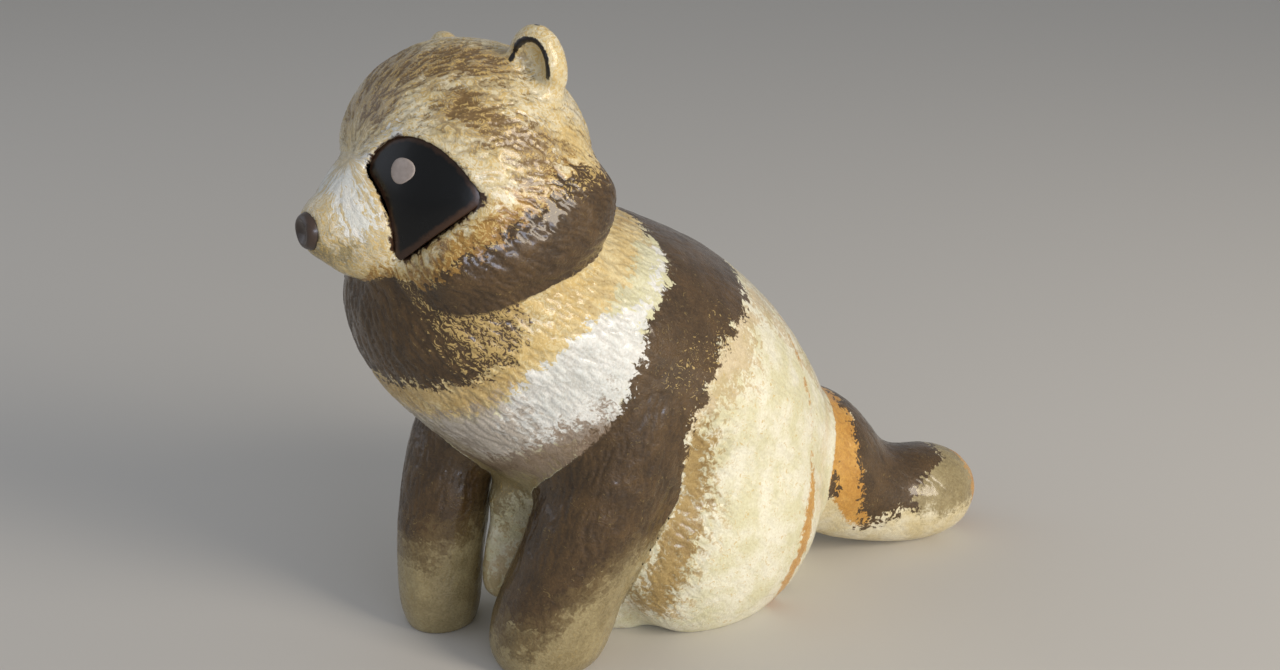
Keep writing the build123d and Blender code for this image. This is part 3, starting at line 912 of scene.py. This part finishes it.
# Gloss black enamel, nearly mirror smooth
enamel = cloudyMaterial("black gloss enamel", "#0d0f11", "#050607", 400.0, 0.3, Specular_IOR_Level=0.3,
                        Coat_Weight=0.15, Coat_Roughness=0.12)
# Dark brown acrylic under varnish
noseFinish = cloudyMaterial("brown gloss acrylic", "#4a3a30", "#2c211b", 900.0, 0.35, Coat_Weight=0.3)
# Pinkish grey acrylic, matt
glintPaint = cloudyMaterial("pale acrylic dot", "#b5a9a2", "#8f8279", 1500.0, 0.5)
# Cores and armature, hidden in the clay
paper = cloudyMaterial("pressed paper", "#b9b0a0", "#8f8674", 500.0, 0.9)
wire = cloudyMaterial("drawn aluminium wire", "#c3c3c6", "#a9a9ad", 1200.0, 0.4, Metallic=1.0)

# Eyes: black inlays with a ragged brown rim
eye = {"voxel": 0.16, "smoothing": 0.5, "rounds": 3, "rimColour": "#3d2a1e", "rim": (0.15, 0.6),
       "ragged": 0.9, "raggedScale": 1100.0}


def rimOfEnamel(material):
    tree = material.node_tree
    base = tree.nodes["Principled BSDF"].inputs["Base Color"]
    black = base.links[0].from_socket
    where = addNode(tree, "ShaderNodeTexCoord").outputs["Object"]
    ragged = addNode(tree, "ShaderNodeTexNoise", {"Vector": where, "Scale": eye["raggedScale"], "Detail": 3.0})
    wander = addNode(tree, "ShaderNodeMath", {0: ragged.outputs[0], 1: eye["ragged"]}, operation="MULTIPLY")
    away = addNode(tree, "ShaderNodeAttribute", attribute_name="rim").outputs["Fac"]
    total = addNode(tree, "ShaderNodeMath", {0: away, 1: wander.outputs[0]}, operation="SUBTRACT")
    edge = addNode(tree, "ShaderNodeMapRange", {"Value": total.outputs[0], "From Min": eye["rim"][0],
                                                "From Max": eye["rim"][1]})
    two = addNode(tree, "ShaderNodeMix", {0: edge.outputs[0], 6: colour(eye["rimColour"]), 7: black},
                  data_type="RGBA")
    tree.links.new(two.outputs[2], base)


def eyeInlay(side):
    vertices, triangles, _ = mergedCopy(nodes["eye_" + side])
    obj = newObject("eyeInlay_" + side, vertices, triangles.tolist())
    voxelRemesh(obj, eye["voxel"])
    smooth = obj.modifiers.new("smooth", "SMOOTH")
    smooth.factor, smooth.iterations = eye["smoothing"], eye["rounds"]
    bakeModifiers(obj)
    near = spotTree(sharpSpots("eye_" + side))
    writeFields(obj.data, {"rim": np.array([near.find(p)[2] for p in verticesOf(obj.data)])})
    obj.data.shade_smooth()
    obj.data.materials.append(enamel)
    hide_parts("eye_" + side)
    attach(obj, "root")


rimOfEnamel(enamel)
eyeInlay("left")
eyeInlay("right")


def inHeadFrame(p):
    turned = Vector((p[0] * cosTilt - p[2] * sinTilt, p[1], p[0] * sinTilt + p[2] * cosTilt))
    return turned + Vector(figure["headMiddle"])


def turnOutward(obj):
    bm = openMerged(obj)
    bmesh.ops.recalc_face_normals(bm, faces=bm.faces)
    bm.to_mesh(obj.data)
    bm.free()


# Nose: a button with a dished face, turned about the axis of the snout
def noseButton():
    sides, spots, rings, faces = nose["sides"], [], [], []
    for outward, radius in nose["profile"]:
        turns = [2 * math.pi * k / sides for k in range(sides if radius else 1)]
        rings.append(range(len(spots), len(spots) + len(turns)))
        for t in turns:
            wide = radius * (1 + nose["threeSided"] * math.sin(3 * t))
            spots.append(inHeadFrame((nose["at"][0] + wide * math.cos(t), nose["at"][1] - outward,
                                      nose["at"][2] + radius * math.sin(t)))[:])
    for lower, upper in zip(rings[:-1], rings[1:]):
        for k in range(sides):
            n = (k + 1) % sides
            around = [lower[k % len(lower)], lower[n % len(lower)],
                      upper[n % len(upper)], upper[k % len(upper)]]
            faces.append(list(dict.fromkeys(around)))
    obj = newObject("noseButton", spots, faces)
    turnOutward(obj)
    smooth = obj.modifiers.new("smooth", "SUBSURF")
    smooth.levels = 2
    bakeModifiers(obj)
    obj.data.shade_smooth()
    obj.data.materials.append(noseFinish)
    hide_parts("nose")
    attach(obj, "root")


noseButton()

# Dot of pale paint on each eye: place in the head's frame, turn in degrees, and how far it is from round
glint = {"at": (9.16, -13.52, 3.21), "radius": 1.75, "turn": 37.6, "rings": 7, "sides": 40, "thick": 0.07,
         "sunk": 0.08, "flat": 0.95, "oval": 0.07, "ovalAt": 0.6, "corners": 0.05, "edge": 0.7, "castFrom": 6.0}


def eyeDot(side):
    sign = 1 if side == "left" else -1
    vertices, triangles, _ = mergedCopy(nodes["eye_" + side])
    tree = surfaceTree(vertices, triangles)
    turn = math.radians(glint["turn"])
    middle = inHeadFrame((sign * glint["at"][0], glint["at"][1], glint["at"][2]))
    origin = Vector(figure["headMiddle"])
    outward = inHeadFrame((sign * math.sin(turn), -math.cos(turn), 0)) - origin
    wide = inHeadFrame((sign * math.cos(turn), math.sin(turn), 0)) - origin
    high = inHeadFrame((0, 0, 1)) - origin
    sides, top, bottom, faces = glint["sides"], [], [], []
    for ring in range(glint["rings"] + 1):
        share = ring / glint["rings"]
        for k in range(sides):
            t = 2 * math.pi * k / sides
            wobble = 1 + glint["oval"] * math.sin(2 * t + glint["ovalAt"]) + glint["corners"] * math.cos(3 * t)
            radius = glint["radius"] * share * wobble
            p = middle + wide * radius * math.cos(t) + high * radius * glint["flat"] * math.sin(t)
            hit = tree.ray_cast(p + outward * glint["castFrom"], -outward)[0]
            top.append(hit + outward * glint["thick"] * (1 - glint["edge"] * share ** 6))
            bottom.append(hit - outward * glint["sunk"])
    size = len(top)
    for ring in range(glint["rings"]):
        for k in range(sides):
            a, b = ring * sides + k, ring * sides + (k + 1) % sides
            faces.append((a, a + sides, b + sides, b))
            faces.append((size + a, size + b, size + b + sides, size + a + sides))
    for k in range(sides):
        a, b = size - sides + k, size - sides + (k + 1) % sides
        faces.append((a, size + a, size + b, b))
    obj = newObject("eyeDot_" + side, [p[:] for p in top + bottom], faces)
    turnOutward(obj)
    obj.data.shade_smooth()
    obj.data.materials.append(glintPaint)
    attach(obj, "root")


eyeDot("left")
eyeDot("right")
for name in ("torso_core", "head_core"):
    dress(name, paper)
for name in ("neck_wire", "foreleg_wire_left", "foreleg_wire_right", "tail_wire"):
    dress(name, wire)
say("materials")

# Matt pale floor, soft daylight from the animal's left; lamps in metres and watts
studio = {
    "floor": "#cfccc6", "floorRoughness": 0.85, "floorHalf": 3000, "sky": "#e4e6ea", "skyStrength": 0.42,
    "lamps": {"window": ((0.57, 0.19, 0.28), (0, 0, 0.04), (0.2, 0.42), 3.0, "#fff3e2"),
              "gleam": ((0.6, -0.08, 0.09), (0, 0, 0.035), (0.34, 0.13), 1.1, "#dfe9ff"),
              "fill": ((-0.35, -0.5, 0.35), (0, 0, 0.04), (0.6, 0.6), 0.7, "#e9f0ff")},
}
half = studio["floorHalf"]
floor = newObject("floor", [(-half, -half, 0), (half, -half, 0), (half, half, 0), (-half, half, 0)], [(0, 1, 2, 3)])
floorMaterial, floorTree, floorShader = newMaterial("matt pale floor")
feed(floorTree, floorShader, {"Base Color": colour(studio["floor"]), "Roughness": studio["floorRoughness"]})
floor.data.materials.append(floorMaterial)

world = bpy.data.worlds.new("studio")
bpy.context.scene.world = world
world.use_nodes = True
feed(world.node_tree, world.node_tree.nodes["Background"].inputs,
     {"Color": colour(studio["sky"]), "Strength": studio["skyStrength"]})


def lamp(name, place, target, size, power, tint):
    data = bpy.data.lights.new(name, "AREA")
    data.shape = "RECTANGLE"
    data.size, data.size_y = size
    data.energy = power
    data.color = colour(tint)[:3]
    obj = bpy.data.objects.new(name, data)
    collection.objects.link(obj)
    obj.location = place
    obj.rotation_euler = (Vector(target) - Vector(place)).to_track_quat("-Z", "Y").to_euler()


for name, settings in studio["lamps"].items():
    lamp(name, *settings)

# Camera fitted to the photograph: place in metres, angles in degrees, focal length and width in pixels
view = {"place": (0.176, -0.13162, 0.121), "down": 19.6, "turn": 54.0, "focal": 1500.0, "width": 1280.0,
        "sensor": 36.0}
cameraData = bpy.data.cameras.new("photo")
cameraData.lens = view["sensor"] * view["focal"] / view["width"]
cameraData.sensor_width = view["sensor"]
camera = bpy.data.objects.new("photo", cameraData)
collection.objects.link(camera)
camera.location = view["place"]
camera.rotation_euler = (math.radians(90.0 - view["down"]), 0.0, math.radians(view["turn"]))
bpy.context.scene.camera = camera
bpy.context.scene.view_settings.view_transform = "Standard"

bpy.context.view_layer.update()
say("done")
